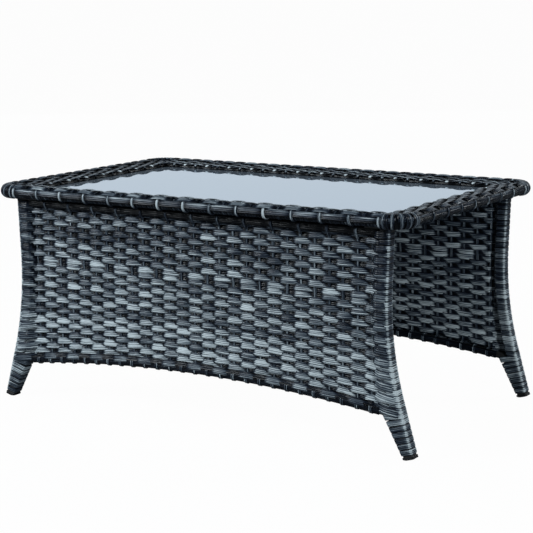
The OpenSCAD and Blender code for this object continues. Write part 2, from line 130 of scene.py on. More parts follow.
# border
EDGE_R = 0.0135
EDGE_Z = TABLE_H - EDGE_R
CORNER_R = 0.045
BORDER_W = 0.065
BORDER_TOP = TABLE_H - 0.004
BORDER_LOW = TABLE_H - 2 * EDGE_R
BORDER_SWING = 0.0016
BORDER_STRAND_W = 0.0102
BORDER_STAKE_T = 0.0017
OVER_R, UNDER_R = 0.0130, 0.0113    # of the stakes round the edge tube, over or under the edge's strip
INNER_CORNER_R = 0.0045     # the smallest radius that a border strand is laid in
LONG_N, SHORT_N = 14, 8                 # stakes from the middle of a side to its corner
CORNER_N = 4                            # and round the corner
FAN_X, FAN_Y = LONG_N * STAKE_PITCH, SHORT_N * STAKE_PITCH
EDGE_SKIN_R = 0.0122    # radius of the woven skin's middle where it goes over the edge tube
EDGE_WRAP_R, EDGE_WRAP_W, EDGE_WRAP_PITCH = 0.0109, 0.0064, 0.0066
STRIP_R, STRIP_W = 0.0128, 0.0126       # the strip that runs lengthwise round the table's edge
STRIP_RISE = math.radians(8)            # how far it sits above the edge's outermost line
STRIP_DIP = 0.0016                      # how deep the stakes press it in
FAN_R, FAN_WRAPS = 0.0138, 9
WRAP_ARC, FAN_ARC = (-200, 95), (-150, 120)     # in degrees up from the outward direction
FAN_TONES = (0.72, 0.34, 0.58, 0.20)

# where the border's strands lie, from the edge tube over the top and down the inner wall
SECTION_ROWS = (-0.0100, -0.0005, 0.0100, 0.0205, 0.0310, 0.0410, 0.0525, 0.0615, 0.0735, 0.0835)
WALL_FROM = 0.045       # the strands from here on are on the inner wall

# strand plastic
STREAK_SCALE = (14.0, 360.0, 1.0)       # of the streaks' noise along and across the strand
GROOVE_PITCH, GROOVE_HEIGHT = 0.0032, 0.35      # the height is a share of the bump's
STRAND_COLOURS = (      # (tone, colour)
    (0.0, (0.0015, 0.002, 0.003)), (0.25, (0.004, 0.0065, 0.012)), (0.5, (0.021, 0.029, 0.045)),
    (0.75, (0.130, 0.162, 0.190)), (1.0, (0.62, 0.70, 0.73)))

# the photograph's viewpoint
VIEW_AZIMUTH, VIEW_ELEVATION = math.radians(32.0), math.radians(10.13)
VIEW_ROLL = math.radians(-0.5)
VIEW_TARGET, VIEW_DISTANCE = (0.00343, 0.0, 0.27453), 3.3432
LENS = 109.15

# studio
WORLD_LIGHT = 0.05
FLOOR_WHITE = 0.93      # how far the floor looks evenly white to the camera, so that its shadows stay faint


def rail_z(x):
    """Height of the arched rail's centre line."""
    return ARCH_Z - ARCH_R + np.sqrt(ARCH_R ** 2 - np.asarray(x, float) ** 2)


def arch_drop(x):
    """How far the arch has come down from its middle at x."""
    return ARCH_R - np.sqrt(ARCH_R ** 2 - x ** 2)


# ---------------------------------------------------------------- strand meshes

class Strands:
    """Collects swept strands and turns them into one mesh object."""

    def __init__(self):
        self.verts, self.quads, self.uvs, self.tones = [], [], [], []
        self.count = 0

    def add(self, path, across, profile, tone, mirror=(1, 1), edge=0.0, widen=1.0):
        """Sweeps profile, whose points are (across, out), along path.

        across is the direction of the strand's width at each point. Outwards is
        the direction of travel crossed with it. edge is how much lighter the
        strand's lower edge is than its upper edge, as painted light and shade, and
        widen scales its width along the path. tone is one value, or one for each
        point of the path, or one for each point of each section; it holds painted
        light and shade as well as the strand's own tone."""
        path = np.asarray(path, float)
        across = np.broadcast_to(np.asarray(across, float), path.shape)
        along = np.gradient(path, axis=0)
        along /= np.linalg.norm(along, axis=1, keepdims=True) + 1e-12
        out = np.cross(along, across)
        out /= np.linalg.norm(out, axis=1, keepdims=True) + 1e-12
        side = np.cross(out, along)
        profile = np.asarray(profile, float)
        n, m = len(path), len(profile)
        widen = np.broadcast_to(np.asarray(widen, float), (n,))[:, None, None]
        verts = (path[:, None] + side[:, None] * profile[None, :, :1] * widen
                 + out[:, None] * profile[None, :, 1:])
        verts = verts.reshape(-1, 3) * np.array([mirror[0], mirror[1], 1.0])
        i = np.arange(n - 1)[:, None] * m
        j = np.arange(m)[None]
        k = (j + 1) % m
        quads = np.stack([i + j, i + k, i + m + k, i + m + j], -1).reshape(-1, 4)
        cap = np.array([[c, c + 1, m - 2 - c, m - 1 - c] for c in range(m // 2 - 1)])
        quads = np.concatenate([quads, cap[:, ::-1], cap + (n - 1) * m])
        if mirror[0] * mirror[1] < 0:
            quads = quads[:, ::-1]
        length = np.concatenate([[0], np.cumsum(np.linalg.norm(np.diff(path, axis=0), axis=1))])
        start = rng.uniform(0, 40)
        uv = np.stack(np.broadcast_arrays(length[:, None] + start, profile[None, :, 0]), -1)
        self.verts.append(verts)
        self.quads.append(quads + self.count)
        self.uvs.append(uv.reshape(-1, 2))
        shade = np.asarray(tone, float)
        if shade.ndim < 2:
            shade = np.broadcast_to(shade, (n,))[:, None]
        place = profile[None, :, 0] / np.ptp(profile[:, 0])
        # painted light and shade: the lower edge lighter than the upper by edge, and both rounded edges
        # darker
        painted_edge_light_and_shade = -edge * place - EDGE_SHADE * abs(2 * place) ** 6
        self.tones.append((shade + painted_edge_light_and_shade).reshape(-1))
        self.count += len(verts)

    def build(self, name, material):
        """One mesh object of all the strands, with their lengthwise UVs and their tones.

        The tones hold painted light and shade as well as the strands' own tones.
        """
        verts, quads = np.concatenate(self.verts), np.concatenate(self.quads)
        uvs, tones = np.concatenate(self.uvs), np.concatenate(self.tones)
        mesh = bpy.data.meshes.new(name)
        mesh.vertices.add(len(verts))
        mesh.vertices.foreach_set("co", verts.astype(np.float32).ravel())
        mesh.loops.add(quads.size)
        mesh.loops.foreach_set("vertex_index", quads.astype(np.int32).ravel())
        mesh.polygons.add(len(quads))
        mesh.polygons.foreach_set("loop_start", np.arange(0, quads.size, 4, dtype=np.int32))
        mesh.polygons.foreach_set("use_smooth", np.ones(len(quads), bool))
        layer = mesh.uv_layers.new(name="strand")
        layer.data.foreach_set("uv", uvs[quads.ravel()].astype(np.float32).ravel())
        # the tone attribute holds the strands' own tones with painted light and shade mixed in
        tone = mesh.attributes.new("tone", "FLOAT", "POINT")
        tone.data.foreach_set("value", tones.astype(np.float32))
        mesh.update()
        mesh.validate()
        mesh.materials.append(material)
        obj = bpy.data.objects.new(name, mesh)
        bpy.context.scene.collection.objects.link(obj)
        return obj


def flat_profile(width, thick, tilt=0.0, ridged=False):
    """Outline of a flat strand with rounded edges, as (across, out) points, the outer face first."""
    w, t = width / 2, thick / 2
    face = RIDGED_FACE if ridged else PLAIN_FACE
    return [(a * w, o * t - a * w * tilt) for a, o in face + INNER_FACE]


def smooth(a, b, x):
    """Rises evenly from 0 at a to 1 at b, and stays level outside them."""
    t = np.clip((np.asarray(x, float) - a) / (b - a), 0, 1)
    return t * t * (3 - 2 * t)


def swing(phase):
    """Plain weave: 1 on the front of a stake, -1 behind the next."""
    c = np.cos(np.pi * phase)
    return c * (1.5 - 0.5 * c * c)


def finish_piece(piece, slot, *cad_nodes):
    """Fixes a piece to the frame, and hides the CAD nodes it stands for. slot is not used."""
    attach(piece, "frame")
    if cad_nodes:
        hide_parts(*cad_nodes)


# ---------------------------------------------------------------- legs

def leg_centre(z):
    """X of the leg's centre line at height z, for the right-hand end."""
    low_z = WAIST_Z - BEND_R * math.sin(LEAN_LOW)
    top_z = WAIST_Z + BEND_R * math.sin(LEAN_TOP)
    base = WAIST_X + BEND_R
    if z < low_z:
        return base - BEND_R * math.cos(LEAN_LOW) + (low_z - z) * math.tan(LEAN_LOW)
    if z > top_z:
        return base - BEND_R * math.cos(LEAN_TOP) + (z - top_z) * math.tan(LEAN_TOP)
    return base - math.sqrt(BEND_R ** 2 - (z - WAIST_Z) ** 2)


def leg_lean(z):
    """Lean of the centre line from upright, positive where the leg spreads downwards."""
    return math.atan((leg_centre(z - 0.001) - leg_centre(z + 0.001)) / 0.002)


def leg_edges(z, with_brace=False):
    """Inner and outer X of the wrapped leg at height z, with or without the brace beside it."""
    half = LEG_W / 2 / math.cos(leg_lean(z))
    inner, outer = leg_centre(z) - half, leg_centre(z) + half
    if with_brace:
        inner = min(inner, BRACE_X + (BRACE_Z - z) * math.tan(BRACE_LEAN))
    return inner, outer


def ring_around_leg(z, slope):
    """Closed path round the leg at height z, tilted by slope.

    Also gives the strand's width direction at each point, and a share that is 1
    where the strand bends round one of the leg's outer corners, where a painted highlight goes."""
    x_mid = leg_centre(z)
    brace = slope > 0
    inner, outer = leg_edges(z, brace)
    for _ in range(4):
        inner = leg_edges(z + (inner - x_mid) * math.tan(slope), brace)[0]
        outer = leg_edges(z + (outer - x_mid) * math.tan(slope), brace)[1]
    half_d = LEG_D / 2 - LEG_RING_INSET
    inner, outer = inner + LEG_RING_INSET, outer - LEG_RING_INSET
    r, pts = LEG_CORNER_R, []
    for cx, cy, start in ((inner + r, half_d - r, 90), (inner + r, -half_d + r, 180),
                          (outer - r, -half_d + r, -90), (outer - r, half_d - r, 0)):
        for k in range(5):
            a = math.radians(start + 22.5 * k)
            pts.append((cx + r * math.cos(a), cy + r * math.sin(a)))
    pts = np.array(pts + pts[:1])
    fine = []
    for a, b in zip(pts[:-1], pts[1:]):
        steps = max(1, int(np.hypot(*(b - a)) / 0.005))
        fine += [a + (b - a) * k / steps for k in range(steps)]
    pts = np.array(fine + fine[:2])
    path = np.stack([pts[:, 0], pts[:, 1], z + (pts[:, 0] - x_mid) * math.tan(slope)], 1)
    t = ((pts[:, 0] - inner) / (outer - inner))[:, None]
    across = edge_direction(z, 0, brace) * (1 - t) + edge_direction(z, 1, brace) * t
    from_corner = abs(pts[:, 0] - outer) + half_d - abs(pts[:, 1])
    corner_highlight = smooth(0.0042, 0.0018, from_corner)
    return path, across / np.linalg.norm(across, axis=1, keepdims=True), corner_highlight


def edge_direction(z, side, brace):
    """Direction up the leg's inner edge (side 0) or outer edge (side 1)."""
    step = 0.002
    x0, x1 = leg_edges(z - step, brace)[side], leg_edges(z + step, brace)[side]
    v = np.array([x1 - x0, 0.0, 2 * step])
    return v / np.linalg.norm(v)


# ---------------------------------------------------------------- side panels

def panel_rows():
    """Rows from the top down, as tuples: the height at the middle, how far the row follows the arch (0 to 1),
    which stakes it passes in front of (0 or 1), and its tone."""
    tones = row_tones()
    rows = [(TOP_ROW_Z - ROW_PITCH * n, 0.0, n % 2, tones[n]) for n in range(LEVEL_ROWS - 1)]
    rows.append((TOP_ROW_Z - ROW_PITCH * (LEVEL_ROWS - 1), 0.0, LEVEL_ROWS % 2, tones[LEVEL_ROWS - 1]))
    lowest = float(rail_z(0)) + LAST_ROW_Z
    for n in range(ARCHED_ROWS):
        z = lowest + ARCHED_PITCH * (ARCHED_ROWS - 1 - n)
        rows.append((z, n / (ARCHED_ROWS - 1), (n + 1) % 2, tones[LEVEL_ROWS + n]))
    return rows


def row_tones():
    """Tones of the rows from the top down: some as in the photo, the rest random and lighter downwards."""
    picked = {10: 0.78, 11: 0.74, 17: 0.80, 21: 0.82, 22: 0.90, 24: 0.84,
              26: 0.92, 27: 0.86, 28: 0.80, 29: 0.60}
    pick = random.Random(31)
    return [picked.get(n, 0.66 + 0.004 * n + pick.uniform(-0.14, 0.12)) + 0.03
            for n in range(LEVEL_ROWS + ARCHED_ROWS)]


def row_height(row, x):
    """Height of a row at x: level near the top, following the arch near the bottom."""
    x = np.asarray(x, float)
    z, follow, _, _ = row
    slope = ROW_SLOPE * min(1.0, (TOP_ROW_Z - z) / SLOPE_DEPTH) * (1 - follow)
    return z - arch_drop(x) * follow - slope * x


def leg_tone_and_shade(z):
    """The legs' strands are darker than the panel's, and painted shade darkens them further towards the top.
    """
    return -0.06 - 0.15 * smooth(0.10, 0.26, z)


def recess_shade(phase, profile, over_leg):
    """How much painted shade each point of a strand's sections takes, from 0 to 1.

    Both faces take painted shade as they pass behind a stake, and sooner along the upper edge,
    which the row above covers; the right-hand side of each float stays lit a little further.
    over_leg is 1 where the strand lies on a leg."""
    place = np.array([across for across, _ in profile])[None]
    place = place / np.ptp(place)
    outer = np.arange(len(profile))[None] < len(PLAIN_FACE)
    from_front = (phase[:, None] + 1) % 2 - 1
    from_front = abs(from_front) - LIT_SIDE * (0.5 - place) * np.sign(from_front)
    from_stake = np.where(outer, from_front, 1 - from_front) * (1 - over_leg[:, None])
    start = np.where(outer, 0.41 - 0.30 * place, 0.48 + 0.24 * place)
    return smooth(0, 1, (from_stake - start) / 0.28) * np.where(outer, 1.0, 0.85)


def panel_strand(strands, row, mirror):
    """One strand from leg to leg, in front of every second stake."""
    z, follow, parity, tone = row
    end_l = -leg_edges(float(row_height(row, -RAIL_END)))[0]
    end_r = leg_edges(float(row_height(row, RAIL_END)))[0]
    on_legs = math.cos(math.pi * (STAKE_N + parity)) < 0
    reach = LEG_W - LEG_STOP if on_legs else HIDDEN_END
    x = np.linspace(end_l - reach, end_r + reach, STRAND_POINTS)
    phase = x / STAKE_PITCH + parity

    depth = swing(phase) * WEAVE_SWING
    face = LEG_D / 2 + 0.0006 if on_legs else HIDDEN_DEPTH
    for end, direction in ((end_l, -1), (end_r, 1)):
        w = smooth(LAST_STAKE - 0.002, abs(end) - 0.001, x * direction)
        tuck = LEG_TUCK * smooth(abs(end) + reach - 0.005, abs(end) + reach, x * direction)
        depth = depth * (1 - w) + (face - tuck) * w
    on_rail = z < rail_z(0) + LAST_ROW_Z + 0.001
    if on_rail:
        depth = np.where(abs(x) < LAST_STAKE + 0.006, LAST_ROW_DEPTH + 0.6 * depth, depth)

    slack = np.interp(x, np.arange(-15, 16) * STAKE_PITCH, [rng.gauss(0, SLACK) for _ in range(31)])
    wobble = WAVER * np.sin(x * 37 + z * 120) + slack
    pts = np.stack([x, -depth, row_height(row, x) + wobble], 1)
    pts[:, 1] -= PANEL_Y

    patch = np.interp(x, np.arange(-8, 9) * 2 * STAKE_PITCH, [rng.gauss(0, PATCH_TONE) for _ in range(17)])
    profile = flat_profile(STRAND_W, STRAND_T, WEAVE_TILT)
    over_leg = smooth(LAST_STAKE + ON_LEG[0], LAST_STAKE + ON_LEG[1], abs(x))
    shade = tone + patch + over_leg * leg_tone_and_shade(z)
    # painted shade where the strand runs behind a stake, less of it on the last row
    depth_of_shade = RECESS_SHADE * (LAST_ROW_SHADE if on_rail else 1.0)
    shade = shade[:, None] - depth_of_shade * recess_shade(phase, profile, over_leg)

    local_pitch = ARCHED_PITCH + arch_drop(x) / (ARCHED_ROWS - 1)
    widen = np.maximum(1.0, local_pitch / ROW_PITCH) if follow > 0 else 1.0
    widen = widen * (1 + LEG_WIDEN * smooth(*BESIDE_LEG, abs(x)))
    strands.add(pts, (0, 0, 1), profile, shade, mirror, PAINTED_LOW_EDGE_LIGHT, widen)


def panel_weave(side_name, mirror):
    """The panel's strands, as two pieces so that neither has too many triangles."""
    rows = panel_rows()
    half = len(rows) // 2
    parts = {"upper": (rows[:half], [f"{side_name}_weave"]), "lower": (rows[half:], [])}
    for part, (chosen, cad_nodes) in parts.items():
        strands = Strands()
        for row in chosen:
            panel_strand(strands, row, mirror)
        piece = strands.build(f"{side_name}_panel_weave_{part}", strand_material)
        finish_piece(piece, "strand_mid", *cad_nodes)


def panel_stakes(side_name, mirror):
    """Ridged uprights from rail to rail, which lean and bow a little."""
    stakes = Strands()
    for i in range(-STAKE_N, STAKE_N + 1):
        x = i * STAKE_PITCH
        low, high = float(rail_z(x)) + RAIL_R, TOP_RAIL_Z
        z = np.linspace(low, high, 40)
        lean = 0.0012 * math.sin(i * 2.1)
        bow = 0.0006 * np.cos(np.pi * (z - TOP_ROW_Z) / ROW_PITCH + np.pi * i)
        pts = np.stack([x + lean * (z - low) / (high - low), -PANEL_Y + bow, z], 1)
        tone = 0.56 + 0.14 * rng.random()
        stakes.add(pts, (-1, 0, 0), flat_profile(STAKE_W, STAKE_T, ridged=True), tone, mirror)
    piece = stakes.build(f"{side_name}_panel_stakes", strand_material)
    finish_piece(piece, "strand_dark", f"{side_name}_stakes")


def rail_loops(side_name, mirror):
    """Wrapping of the arched rail: a strand along each face, and two loops round it at each stake."""
    loops = Strands()
    for i in range(-STAKE_N, STAKE_N + 1):
        x = i * STAKE_PITCH
        for dx in LOOP_PLACES:
            loop_round_rail(loops, x + dx, 0.40 + 0.4 * rng.random(), mirror)
    for side in (1, -1):
        x = np.linspace(RAIL_END, -RAIL_END, 240) * side
        y = np.full_like(x, -PANEL_Y + side * (RAIL_R + 0.0008))
        pts = np.stack([x, y, rail_z(x) + 0.001], 1)
        tone = 0.16 + 0.05 * np.sin(x * 31)
        loops.add(pts, (0, 0, 1), flat_profile(COVER_W, COVER_T), tone, mirror)
    piece = loops.build(f"{side_name}_rail_loop_strands", strand_material)
    finish_piece(piece, "strand_light", f"{side_name}_rail_loops")


def top_loops(side_name, mirror):
    """Wrapping of the top rail: every second stake's end over it, and a strand along each face."""
    tops = Strands()
    for i in range(-STAKE_N + 1, STAKE_N, 2):
        over_top_rail(tops, i * STAKE_PITCH, 0.42 + 0.25 * rng.random(), mirror)
    for side in (-1, 1):
        x = np.linspace(-TOP_COVER_END, TOP_COVER_END, 300)
        y = -PANEL_Y + side * (0.0088 - 0.0009 * swing(x / STAKE_PITCH))
        pts = np.stack([-side * x, y, np.full_like(x, TOP_RAIL_Z + 0.0015)], 1)
        # painted shade: the strands along the top rail, under the rim, are near black
        tops.add(pts, (0, 0, 1), flat_profile(COVER_W, COVER_T), -0.15, mirror)
    piece = tops.build(f"{side_name}_top_loop_strands", strand_material)
    finish_piece(piece, "strand_light", f"{side_name}_top_loops")


def build_panel(side_name, mirror):
    """Woven panel, its stakes and its rails' wrapping, for the front or, mirrored, the back."""
    panel_weave(side_name, mirror)
    panel_stakes(side_name, mirror)
    rail_loops(side_name, mirror)
    top_loops(side_name, mirror)


def loop_round_rail(strands, x, tone, mirror):
    """One loop round the arched rail, a little askew."""
    a = np.linspace(0, 2 * np.pi, 21)
    r = RAIL_R + 0.0021 + 0.0004 * rng.random()
    z = float(rail_z(x)) + r * np.cos(a)
    pts = np.stack([np.full_like(a, x) + 0.0008 * np.sin(a), -PANEL_Y - r * np.sin(a), z], 1)
    strands.add(pts, (-1, 0, 0), flat_profile(LOOP_W, WRAP_T), tone, mirror)


def over_top_rail(strands, x, tone, mirror):
    """The end of every second stake: up the front, over the top rail and down behind it."""
    a = np.linspace(-0.55 * np.pi, 0.75 * np.pi, 24)
    r = RAIL_R + 0.0030
    lean = rng.uniform(-0.002, 0.002)
    over = np.stack([x + lean * (a / np.pi + 0.55), -PANEL_Y + r * np.sin(a),
                     TOP_RAIL_Z + r * np.cos(a) * 0.95], 1)
    start = np.array([[x, -PANEL_Y, TOP_RAIL_Z - 0.016], [x, -PANEL_Y - 0.0035, TOP_RAIL_Z - 0.012]])
    # painted shade from the upper front of the rail over its top and down behind it
    shade = np.concatenate([[tone, tone], tone - 0.5 * smooth(-0.42, -0.2, a / np.pi)])
    profile = flat_profile(STAKE_W, STAKE_T, ridged=True)
    strands.add(np.concatenate([start, over]), (-1, 0, 0), profile, shade, mirror)


def ring_heights(x):
    """Heights and tones of the rings round the leg at x: those of the panel's rows, then down to the foot."""
    rings = [(float(row_height(row, x)), row[3]) for row in panel_rows()]
    rings.insert(0, (rings[0][0] + ROW_PITCH * 0.95, 0.30))
    z, step = rings[-1][0], ROW_PITCH * 0.98
    while z - step > LOWEST_RING:
        z -= step
        rings.append((z, 0.74 + rng.uniform(-0.16, 0.12)))
    return rings


def leg_wraps(name, mirror):
    """Strands round one leg: level beside the panel, then square to the leg below the rail."""
    strands = Strands()
    to_panel = np.array([0.0, -PANEL_Y, 0.0])
    for z, tone in ring_heights(WAIST_X * mirror[0]):
        slope = LEAN_LOW * (0.0 if z > TURN_TOP else TURN_SHARE if z > TURN_LOW else 1.0)
        path, across, corner_highlight = ring_around_leg(z, slope)
        width = TURN_RING_W if TURN_LOW < z < TURN_TOP else LEG_RING_W
        # painted highlight along the leg's outer corners; the leg's tone holds painted shade near the top
        shade = tone + leg_tone_and_shade(z) + rng.uniform(-0.10, 0.06) + 0.45 * corner_highlight
        strands.add(path + to_panel, across, flat_profile(width, LEG_RING_T), shade, mirror)
    finish_piece(strands.build(f"{name}_strands", strand_material), "strand_light", name)


# ---------------------------------------------------------------- border

def border_corner(u, half, other, reach, other_reach, step):
    """The way round one side's right-hand corner, from its last stake to the next side's first, at distance u
    inside the outer edge: points, inward directions, and how far along it each point is, from 0 to 1."""
    r = max(CORNER_R - u, INNER_CORNER_R)
    cx, cy = half - u - r, -other + u + r
    before, arc, after = cx - reach, r * math.pi / 2, -other_reach - cy
    total = before + arc + after
    way = np.linspace(0, total, max(12, int(total / (step * 0.7))))[:-1]
    pts, inward = [], []
    for d in way:
        if d < before:
            pts.append((reach + d, -other + u))
            inward.append((0.0, 1.0))
        elif d < before + arc:
            a = (d - before) / r
            pts.append((cx + r * math.sin(a), cy - r * math.cos(a)))
            inward.append((-math.sin(a), math.cos(a)))
        else:
            pts.append((half - u, cy + d - before - arc))
            inward.append((-1.0, 0.0))
    return pts, inward, way / total


def border_loop(u, step=0.004):
    """Closed path at distance u inside the outer edge: points, inward direction, weave phase and stake count.

    It starts at the front's left corner and runs towards +X, then round the other sides."""
    pts, inward, phase = [], [], []
    count = 0
    for k in range(4):
        half, other = (HALF_L, HALF_W) if k % 2 == 0 else (HALF_W, HALF_L)
        reach, other_reach = (FAN_X, FAN_Y) if k % 2 == 0 else (FAN_Y, FAN_X)
        s = np.linspace(-reach, reach, int(2 * reach / step) + 1)[:-1]
        side = [(x, -other + u) for x in s]
        corner, corner_inward, way = border_corner(u, half, other, reach, other_reach, step)
        a = k * math.pi / 2
        turn = np.array([[math.cos(a), -math.sin(a)], [math.sin(a), math.cos(a)]])
        pts.append(np.array(side + corner) @ turn.T)
        inward.append(np.array([(0.0, 1.0)] * len(side) + corner_inward) @ turn.T)
        phase.append(count + (s + reach) / STAKE_PITCH)
        count += 2 * (LONG_N if k % 2 == 0 else SHORT_N)
        phase.append(count + way * CORNER_N)
        count += CORNER_N
    pts, inward = np.concatenate(pts + [pts[0][:1]]), np.concatenate(inward + [inward[0][:1]])
    return pts, inward, np.concatenate(phase + [[count]]), count


def section(s):
    """Point (u, z) and outward normal (nu, nz) of the border's woven skin at distance s.

    s starts where the skin leaves the edge tube, and runs over the top, down the inner
    wall and back underneath. Negative s runs outwards over the tube."""
    if s < 0:
        a = math.radians(75) - s / EDGE_SKIN_R
        nu, nz = math.cos(a), math.sin(a)
        return EDGE_R + EDGE_SKIN_R * nu, EDGE_Z + EDGE_SKIN_R * nz, nu, nz
    start, wall_u = 0.0170, BORDER_W - 0.0012
    top, low = BORDER_TOP - 0.0022, BORDER_LOW + 0.0018
    r = 0.0035
    flat = wall_u - r - start
    wall = top - low - 2 * r
    turn = r * math.pi / 2
    if s < flat:
        return start + s, top + 0.0040 * math.exp(-s / 0.008), 0.0, 1.0
    s -= flat
    if s < turn:
        nu, nz = math.sin(s / r), math.cos(s / r)
        return wall_u - r + r * nu, top - r + r * nz, nu, nz
    s -= turn
    if s < wall:
        return wall_u, top - r - s, 1.0, 0.0
    s -= wall
    if s < turn:
        nu, nz = math.cos(s / r), -math.sin(s / r)
        return wall_u - r + r * nu, low + r + r * nz, nu, nz
    s -= turn
    return wall_u - r - s, low, 0.0, -1.0


def in_corner(phase):
    """1 in the middle of a rounded corner, 0 along the sides."""
    phase, share, start = np.asarray(phase, float), 0.0, 0.0
    for half in (LONG_N, SHORT_N, LONG_N, SHORT_N):
        start += 2 * half
        end = start + CORNER_N
        share = share + smooth(start, start + 0.8, phase) * smooth(end, end - 0.8, phase)
        start = end
    return share


def short_side_shade(x):
    """Painted shade: the short sides are darker, as they catch less light."""
    return -0.18 * smooth(HALF_L - 0.075, HALF_L - 0.045, abs(np.asarray(x)))


def build_border():
    """Woven border: its lengthwise strands, cross stakes, the edge's wraps, strips and corner fans."""
    pick = random.Random(5)
    border_weave(pick)
    border_stakes(pick)
    edge_cross_wraps(pick)
    edge_strips_and_fans(pick)


def along_border(xy, inward, z, nu, nz, lift):
    """Path round the border raised by lift along the normal (nu, nz), and its width direction."""
    normal = np.concatenate([inward, np.zeros((len(inward), 1))], 1) * nu + np.array([0.0, 0.0, nz])
    pts = np.concatenate([xy, np.full((len(xy), 1), z)], 1) + normal * lift[:, None]
    across = np.cross(normal, np.gradient(pts, axis=0))
    return pts, across / np.linalg.norm(across, axis=1, keepdims=True)


def border_weave(pick):
    """Lengthwise strands, which pass over and under the cross stakes."""
    weave = Strands()
    for n, s in enumerate(SECTION_ROWS):
        u, z, nu, nz = section(s)
        xy, inward, phase, _ = border_loop(u)
        lift = BORDER_SWING * swing(phase + n) * (1 - 0.9 * in_corner(phase) * (s < 0.002))
        pts, across = along_border(xy, inward, z, nu, nz, lift)
        # painted shade: the strands on the inner wall are darker, and each strand darkens where it passes
        # under a stake
        base = 0.62 if s < WALL_FROM else -0.22
        shade = base + pick.uniform(-0.10, 0.14) + 0.08 * np.sin(phase * 0.7 + n)
        shade = shade - 0.50 * smooth(0.3, -0.8, swing(phase + n)) + short_side_shade(xy[:, 0])
        weave.add(pts, across, flat_profile(BORDER_STRAND_W, STRAND_T), shade)
    finish_piece(weave.build("border_weave", strand_material), "strand_dark",
                 "top_weave_front", "top_weave_back", "top_weave_left", "top_weave_right")


def border_stakes(pick):
    """Stakes across the border; every second one also passes over the edge's strip."""
    stakes = Strands()
    xy, inward, phase, count = border_loop(EDGE_R, step=0.002)
    for i in range(count):
        j = int(np.argmin(abs(phase - i)))
        over = i % 2 == 0
        tone = (0.52 if over else 0.30) + pick.uniform(-0.16, 0.18)
        cross_stake(stakes, xy[j], inward[j], over, tone + float(short_side_shade(xy[j][0])))
    finish_piece(stakes.build("border_stakes", strand_material), "strand_light", "edge_rings")


def edge_cross_wraps(pick):
    """Strand wound closely round the edge tube, as one wrap beside another."""
    wraps = Strands()
    xy, inward, _, _ = border_loop(EDGE_R, step=0.002)
    arc = arc_length(xy)
    number = int(arc[-1] / EDGE_WRAP_PITCH)
    for i in range(number):
        d = i * arc[-1] / number
        place = np.array([np.interp(d, arc, xy[:, 0]), np.interp(d, arc, xy[:, 1])])
        j = int(np.argmin(abs(arc - d)))
        edge_wrap(wraps, place, inward[j], EDGE_WRAP_R, WRAP_ARC, 0.30 + pick.uniform(-0.24, 0.24))
    finish_piece(wraps.build("edge_cross_wraps", strand_material), "strand_mid",
                 "edge_band_front", "edge_band_back", "edge_band_left", "edge_band_right")


def edge_strips_and_fans(pick):
    """The strip that runs round the edge and dips under every second stake, and the corner fans."""
    strips = Strands()
    nu, nz = math.cos(STRIP_RISE), math.sin(STRIP_RISE)
    xy, inward, phase, _ = border_loop(EDGE_R - STRIP_R * nu)
    dip = np.exp(-((((phase + 1) % 2) - 1) / 0.28) ** 2)
    pts, across = along_border(xy, inward, EDGE_Z + STRIP_R * nz, -nu, nz, -STRIP_DIP * dip)
    # painted shade where the strip dips under a stake; its negative edge paints a highlight along its upper
    # edge
    tone = 0.50 + 0.10 * np.sin(phase * 0.9) - 0.35 * dip + short_side_shade(xy[:, 0])
    strips.add(pts, across, flat_profile(STRIP_W, WRAP_T, ridged=True), tone, edge=-0.7)
    for k in range(4):
        corner_fan(strips, k, pick)
    finish_piece(strips.build("edge_strips_and_corner_fans", strand_material), "strand_mid",
                 "corner_wrap_front_left", "corner_wrap_front_right",
                 "corner_wrap_back_left", "corner_wrap_back_right")


def arc_length(xy):
    """Distance along a path to each of its points."""
    return np.concatenate([[0], np.cumsum(np.linalg.norm(np.diff(xy, axis=0), axis=1))])


def to_world(xy, inward, u, z):
    """Points at distances u from the outer edge and heights z, across the border at one place on it."""
    offset = np.asarray(u) - EDGE_R
    return np.stack([xy[0] + inward[0] * offset, xy[1] + inward[1] * offset, np.asarray(z)], 1)


def cross_stake(strands, xy, inward, over, tone):
    """One stake across the border: round the edge tube, over the top and down the inner wall."""
    a = np.radians(np.linspace(-215, 100, 34))
    r = OVER_R if over else UNDER_R
    r = r + (EDGE_SKIN_R - r) * smooth(math.radians(25), math.radians(55), a)
    s = np.linspace(0.002, 0.068, 26)
    skin = np.array([section(v)[:2] for v in s])
    u = np.concatenate([EDGE_R - r * np.cos(a), skin[:, 0]])
    z = np.concatenate([EDGE_Z + r * np.sin(a), skin[:, 1]])
    place = np.concatenate([np.full(len(a), -1.0), s])
    inner_edge_highlight = np.exp(-((place - 0.0445) / 0.004) ** 2)
    on_wall = smooth(0.046, 0.050, place)
    outside = np.concatenate([smooth(-1.2, -0.6, a) * smooth(0.9, 0.5, a), np.zeros(len(s))])
    # painted highlight where the stake bends over the inner top edge and on the outside of each stake over
    # the strip, and painted shade down the inner wall
    shade = tone + (0.90 if over else 0.55) * inner_edge_highlight - 0.60 * on_wall + 0.34 * outside * over
    along = np.array([-inward[1], inward[0], 0.0])
    profile = flat_profile(STAKE_W, BORDER_STAKE_T, ridged=True)
    strands.add(to_world(xy, inward, u, z), along, profile, shade)


def edge_wrap(strands, xy, inward, r, arc, tone):
    """A strand wound round the edge tube, over an arc given in degrees up from the outward direction."""
    a = np.radians(np.linspace(*arc, 18))
    path = to_world(xy, inward, EDGE_R - r * np.cos(a), EDGE_Z + r * np.sin(a))
    along = np.array([-inward[1], inward[0], 0.0])
    strands.add(path, along, flat_profile(EDGE_WRAP_W, WRAP_T), tone)


